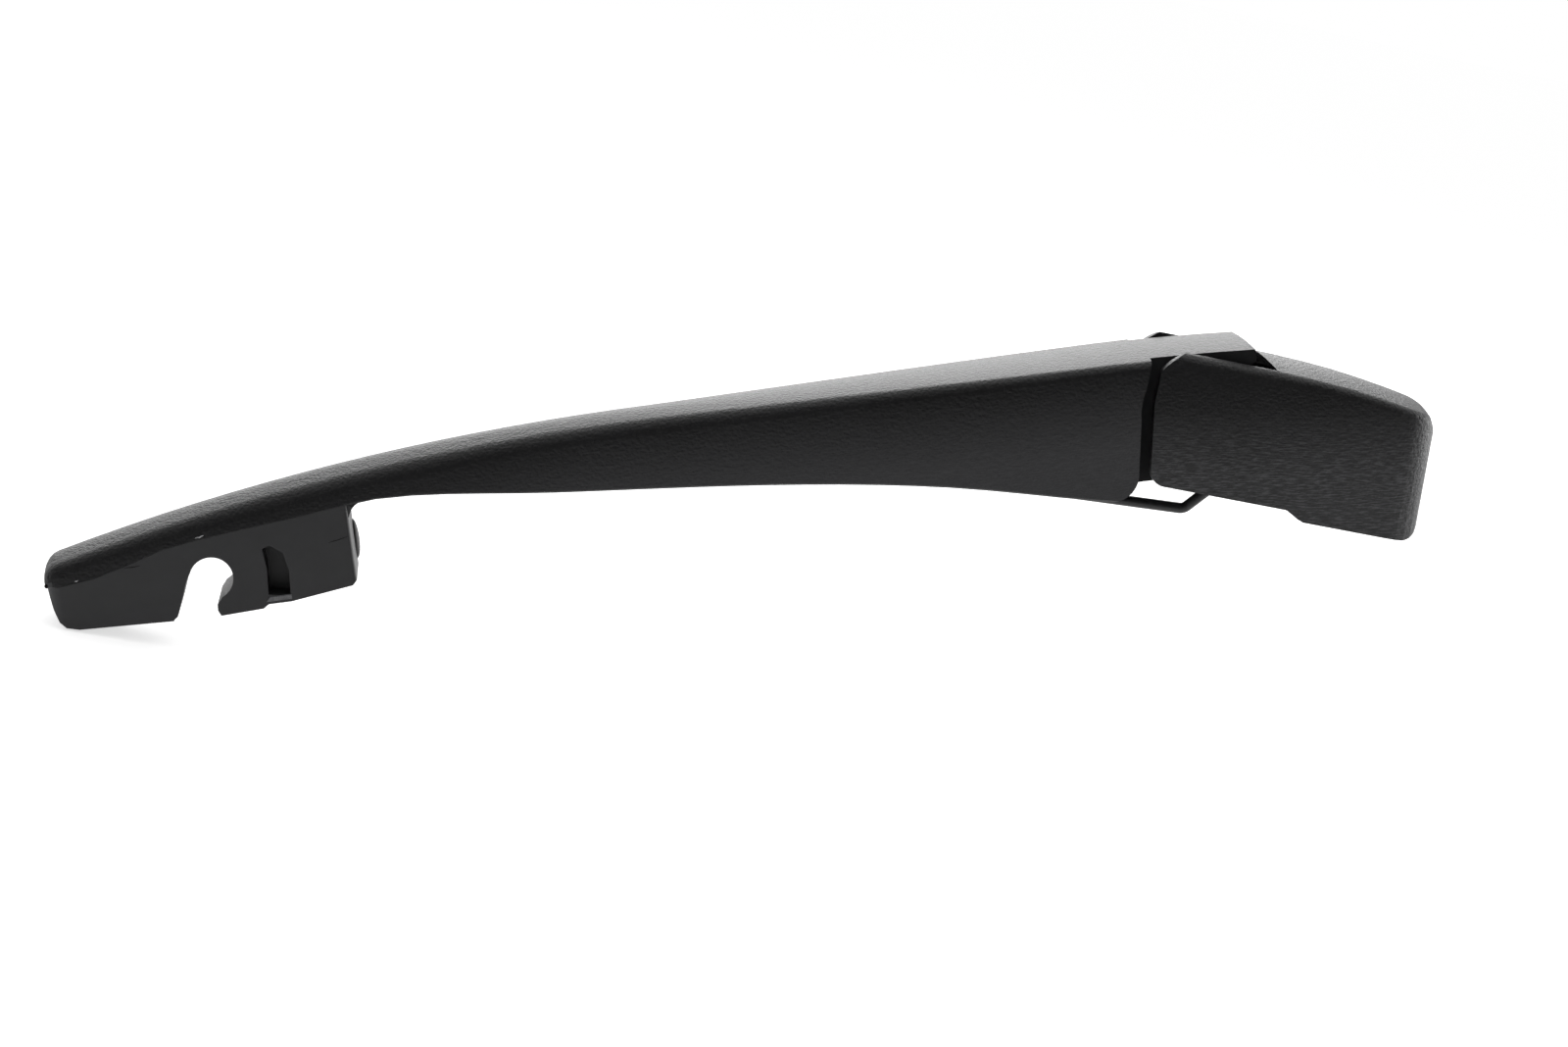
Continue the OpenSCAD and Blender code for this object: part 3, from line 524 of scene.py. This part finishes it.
class WIPER_OT_arm(bpy.types.Operator):
    """Dresses the arm: grained shell with painted light low down, smoother mount with scuffed, reflecting
    seat, neck in painted shade
    """
    bl_idname = "wiper.arm"
    bl_label = "Arm"

    def execute(self, context):
        finish = context.scene.wiper_finish
        solid = soften("arm_body", context.scene.wiper_sizes.edge_round)
        # The shell's walls get painted light from below, mostly even and partly in flow lines.
        shell = glass_filled_plastic("glass filled plastic, arm", finish, DROOP, ARM_MIDDLE,
                                     finish.arm_lines_and_light, even=0.75, mirror=0.4)
        paint(solid, shell, smooth_plastic("stoned plastic, blade mount", finish),
              neck_shade_plastic("greased plastic, neck"), scuffed_reflecting_plastic("scuffed plastic, blade seat"))
        shell_slot, mount_slot, neck_shade_slot, seat_slot = range(len(solid.data.materials))
        for face in solid.data.polygons:
            place = ALONG_ARM @ (face.center - HINGE) / MM
            toward = ALONG_ARM.to_3x3() @ face.normal
            # The seat's front is paler: rubbed, and a painted reflection of the white ground.
            if on_seat(place, toward):
                face.material_index = seat_slot
            elif on_mount(place):
                face.material_index = mount_slot
            # Neck sides get painted shade, near black as the shadow in the gap at the hinge.
            elif on_neck_side(place, toward):
                face.material_index = neck_shade_slot
            else:
                face.material_index = shell_slot
        return {"FINISHED"}


class WIPER_OT_flash(bpy.types.Operator):
    """Adds the flash at the mount's parting line, the creases, the nick, the rear pad and the sill"""
    bl_idname = "wiper.flash"
    bl_label = "Marks of the mould"

    def execute(self, context):
        pale = torn_plastic("pale flash")
        # The dark crease material is painted shade, on the creases and the nick.
        dark = crease_shade_plastic("dark crease")
        for slivers, face, material in ((FLASHES, FLASH_FACE, pale), (CREASES, CREASE_FACE, dark)):
            for name, sizes in slivers.items():
                sliver(name, face, material, *sizes)
        pebble("nose_nick", *NOSE_NICK, dark)
        pebble("rear_pad", *REAR_PAD, smooth_plastic("stoned plastic, pads", context.scene.wiper_finish))
        # The sills carry a painted highlight: paler than the mount, as their lit ledge.
        polished_and_lit = polished_lit_plastic("polished plastic, ledge")
        for name, side in (("ledge_near", 1), ("ledge_far", -1)):
            sill(name, side, polished_and_lit)
        return {"FINISHED"}


def sliver(name, y, material, x, drop, length, height, rise):
    """Thin pointed ridge below the seam of the level arm, in mm. It rises by the share rise to the rear."""
    rings = []
    for step in range(SLIVER_STEPS + 1):
        t = step / SLIVER_STEPS
        half = max(SLIVER_TIP, math.sin(math.pi * t) ** SLIVER_BLUNTNESS) * height / 2
        wave = SLIVER_WAVE * height * math.sin(SLIVER_WAVES * t)
        z = seam_height(x) - drop + rise * length * (t - 0.5) + wave
        rings.append([(x + length * (t - 0.5), y + depth, z + up * half) for depth, up in SLIVER_SECTION])
    add_to_arm(name, loft(rings), material)


def pebble(name, centre, half_sizes, material):
    """Smooth oval lump on the level arm, in mm."""
    bm = bmesh.new()
    bmesh.ops.create_uvsphere(bm, u_segments=24, v_segments=14, radius=1)
    for vert in bm.verts:
        vert.co = [c + h * v for c, h, v in zip(centre, half_sizes, vert.co)]
    for face in bm.faces:
        face.smooth = True
    add_to_arm(name, bm, material)


def sill(name, side, material):
    """Low sill below the mount's pocket, on the near side (1) or the far side (-1)."""
    rings = []
    for top, bottom in SILL_ENDS:
        places = (top, top, bottom, bottom)
        rings.append([(x, side * y, z) for x, (y, z) in zip(places, SILL_SECTION)])
    add_to_arm(name, loft(rings), material)


def loft(rings):
    """Closed mesh through rings, which all have the same number of points."""
    bm = bmesh.new()
    rows = [[bm.verts.new(point) for point in ring] for ring in rings]
    for first, second in zip(rows, rows[1:]):
        for j in range(len(first)):
            k = (j + 1) % len(first)
            bm.faces.new((first[j], second[j], second[k], first[k]))
    bm.faces.new(rows[0])
    bm.faces.new(reversed(rows[-1]))
    return bm


def add_to_arm(name, bm, material):
    """Makes a painted object of a closed mesh of the level arm, carried by the arm."""
    bmesh.ops.recalc_face_normals(bm, faces=bm.faces)
    mesh = bpy.data.meshes.new(name)
    bm.to_mesh(mesh)
    bm.free()
    mesh.transform(FROM_LEVEL)
    piece = bpy.data.objects.new(name, mesh)
    bpy.context.scene.collection.objects.link(piece)
    paint(piece, material)
    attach(piece, "arm")


class WIPER_OT_hood(bpy.types.Operator):
    """Dresses the hood in the arm's grained plastic"""
    bl_idname = "wiper.hood"
    bl_label = "Hood"

    def execute(self, context):
        solid = soften("head_cap", context.scene.wiper_sizes.edge_round)
        finish = context.scene.wiper_finish
        # The hood's walls get painted light from below too, mostly in flow lines.
        paint(solid, glass_filled_plastic("glass filled plastic, hood", finish, HOOD_SLOPE, HOOD_MIDDLE,
                                          finish.hood_lines_and_light, even=0.12, mirror=0.46))
        return {"FINISHED"}


class WIPER_OT_head(bpy.types.Operator):
    """Dresses the casting and the three pins"""
    bl_idname = "wiper.head"
    bl_label = "Head and pins"

    def execute(self, context):
        finish = context.scene.wiper_finish
        sizes = context.scene.wiper_sizes
        paint(soften("mounting_head", sizes.cast_round), coated_zinc("coated zinc casting", finish))
        for node in ("hinge_pin", "anchor_pin", "spring_pin"):
            paint(soften(node, sizes.pin_round), drawn_steel(node + " steel", finish, 0, (0.22, 0.38)))
        return {"FINISHED"}


class WIPER_OT_link(bpy.types.Operator):
    """Dresses the bent wire between spring and head"""
    bl_idname = "wiper.link"
    bl_label = "Link"

    def execute(self, context):
        solid = soften("spring_link", context.scene.wiper_sizes.link_round, 60)
        paint(solid, black_wire("black wire, link", context.scene.wiper_finish))
        return {"FINISHED"}


class WIPER_OT_spring(bpy.types.Operator):
    """Dresses the tension spring"""
    bl_idname = "wiper.spring"
    bl_label = "Spring"

    def execute(self, context):
        solid = soften("tension_spring", context.scene.wiper_sizes.spring_round, 70)
        paint(solid, drawn_steel("spring steel", context.scene.wiper_finish, DROOP, (0.25, 0.42)))
        return {"FINISHED"}


class WIPER_OT_stage(bpy.types.Operator):
    """Sets up the pale floor, the soft light and the camera"""
    bl_idname = "wiper.stage"
    bl_label = "Stage"

    def execute(self, context):
        stage = context.scene.wiper_stage
        floor = pale_floor(CAD_BOX[0][2] - FLOOR_GAP)
        white_surround(context.scene)
        for side, (offset, size) in LAMPS.items():
            soft_lamp(side + " light", MIDDLE + Vector(offset), size, getattr(stage, side + "_power"))
        lens = bpy.data.cameras.new("camera")
        lens.lens = stage.lens
        lens.sensor_width = 36
        lens.clip_start = 0.01
        camera = bpy.data.objects.new("camera", lens)
        back = -Vector(stage.look).normalized()
        right = Vector(stage.right).normalized()
        up = back.cross(right).normalized()
        turn = Matrix((right, up, back)).transposed().to_4x4()
        camera.matrix_world = Matrix.Translation(Vector(stage.eye)) @ turn
        context.scene.collection.objects.link(camera)
        context.scene.camera = camera
        context.scene.view_settings.view_transform = "Standard"
        return {"FINISHED"}


def soft_lamp(name, place, size, energy):
    """Rectangular lamp that faces the middle of the object."""
    data = bpy.data.lights.new(name, "AREA")
    data.shape = "RECTANGLE"
    data.size, data.size_y = size
    data.energy = energy
    lamp = bpy.data.objects.new(name, data)
    turn = (place - MIDDLE).to_track_quat("Z", "Y").to_matrix().to_4x4()
    lamp.matrix_world = Matrix.Translation(place) @ turn
    bpy.context.scene.collection.objects.link(lamp)


def seen_directly(tree):
    """1 for rays from the camera, reflections and glass, 0 for light that falls on the object."""
    path = add_node(tree, "ShaderNodeLightPath").outputs
    first = add_node(tree, "ShaderNodeMath", {0: path["Is Camera Ray"], 1: path["Is Glossy Ray"]},
                     operation="MAXIMUM").outputs["Value"]
    return add_node(tree, "ShaderNodeMath", {0: first, 1: path["Is Transmission Ray"]},
                    operation="MAXIMUM").outputs["Value"]


def white_surround(scene):
    """World that lights the object plainly, shows as white, and is dimmer in reflections of the near side.

    Near and far are told by the heading's Y, from -1 at the camera to 1 behind the object.
    """
    world = bpy.data.worlds.new("surround")
    world.use_nodes = True
    tree = world.node_tree
    tree.nodes.clear()
    around = add_node(tree, "ShaderNodeTexCoord").outputs["Generated"]
    heading = add_node(tree, "ShaderNodeSeparateXYZ", {"Vector": around}).outputs["Y"]
    near, far = SURROUND_FADE
    behind = add_node(tree, "ShaderNodeMapRange", {"Value": heading},
                      {"From Min": near, "From Max": far}).outputs["Result"]
    camera = add_node(tree, "ShaderNodeLightPath").outputs["Is Camera Ray"]
    shown = add_node(tree, "ShaderNodeMath", {0: behind, 1: camera}, operation="MAXIMUM").outputs["Value"]
    level = add_node(tree, "ShaderNodeMapRange", {"Value": seen_directly(tree), "To Max": shown},
                     {"To Min": SURROUND_LIGHT}).outputs["Result"]
    ground = add_node(tree, "ShaderNodeBackground", {"Strength": level}, {"Color": WHITE})
    add_node(tree, "ShaderNodeOutputWorld", {"Surface": ground.outputs["Background"]})
    scene.world = world


def white_paper(name):
    """Matt white paper that glows a little, so that it shows as white behind the object."""
    material, tree, shader, place = new_material(name)
    fibres = add_node(tree, "ShaderNodeTexNoise", {"Vector": place},
                      {"Scale": scale_for(PAPER_FIBRE), "Detail": 3.0}).outputs["Fac"]
    tree.links.new(two_tones(tree, fibres, PAPER_TONES), shader.inputs["Base Color"])
    shader.inputs["Roughness"].default_value = 0.9
    shader.inputs["Specular IOR Level"].default_value = 0.0
    across = add_node(tree, "ShaderNodeSeparateXYZ", {"Vector": place}).outputs["Y"]
    near, far = FLOOR_FADE
    behind = add_node(tree, "ShaderNodeMapRange", {"Value": across},
                      {"From Min": near, "From Max": far, "To Max": MIRRORED_GLOW}).outputs["Result"]
    camera = add_node(tree, "ShaderNodeLightPath").outputs["Is Camera Ray"]
    whole = add_node(tree, "ShaderNodeMath", {0: camera}, {1: FLOOR_GLOW},
                     operation="MULTIPLY").outputs["Value"]
    shown = add_node(tree, "ShaderNodeMath", {0: behind, 1: whole}, operation="MAXIMUM").outputs["Value"]
    lift = add_node(tree, "ShaderNodeMath", {0: shown, 1: seen_directly(tree)},
                    operation="MULTIPLY").outputs["Value"]
    glow = add_node(tree, "ShaderNodeEmission", {"Strength": lift}, {"Color": WHITE})
    both = add_node(tree, "ShaderNodeAddShader", {0: shader.outputs["BSDF"], 1: glow.outputs["Emission"]})
    out = next(node for node in tree.nodes if node.type == "OUTPUT_MATERIAL")
    tree.links.new(both.outputs["Shader"], out.inputs["Surface"])
    return material


def pale_floor(height):
    """Wide floor that keeps the object's shadow."""
    mesh = bpy.data.meshes.new("floor")
    corners = ((-1, -1), (1, -1), (1, 1), (-1, 1))
    mesh.from_pydata([(x * FLOOR_REACH, y * FLOOR_REACH, height) for x, y in corners], [], [(0, 1, 2, 3)])
    mesh.materials.append(white_paper("matt white paper"))
    floor = bpy.data.objects.new("floor", mesh)
    bpy.context.scene.collection.objects.link(floor)
    return floor


class WIPER_PT_panel(bpy.types.Panel):
    """Lists the pieces of the wiper arm"""
    bl_label = "Wiper arm"
    bl_idname = "WIPER_PT_panel"
    bl_space_type = "VIEW_3D"
    bl_region_type = "UI"
    bl_category = "Wiper arm"

    def draw(self, context):
        for piece in PIECES:
            self.layout.operator(piece.bl_idname)
        for group in (context.scene.wiper_finish, context.scene.wiper_sizes, context.scene.wiper_stage):
            box = self.layout.box()
            for name in group.bl_rna.properties.keys():
                if name not in ("rna_type", "name"):
                    box.prop(group, name)


PIECES = (WIPER_OT_arm, WIPER_OT_flash, WIPER_OT_hood, WIPER_OT_head, WIPER_OT_link, WIPER_OT_spring,
          WIPER_OT_stage)
CLASSES = (WiperFinish, WiperSizes, WiperStage) + PIECES + (WIPER_PT_panel,)


def register():
    for kind in CLASSES:
        bpy.utils.register_class(kind)
    bpy.types.Scene.wiper_finish = bpy.props.PointerProperty(type=WiperFinish)
    bpy.types.Scene.wiper_sizes = bpy.props.PointerProperty(type=WiperSizes)
    bpy.types.Scene.wiper_stage = bpy.props.PointerProperty(type=WiperStage)


def unregister():
    del bpy.types.Scene.wiper_finish
    del bpy.types.Scene.wiper_sizes
    del bpy.types.Scene.wiper_stage
    for kind in reversed(CLASSES):
        bpy.utils.unregister_class(kind)


def main():
    register()
    bpy.ops.wiper.arm()
    bpy.ops.wiper.flash()
    bpy.ops.wiper.hood()
    bpy.ops.wiper.head()
    bpy.ops.wiper.link()
    bpy.ops.wiper.spring()
    bpy.ops.wiper.stage()


if __name__ == "__main__":
    main()
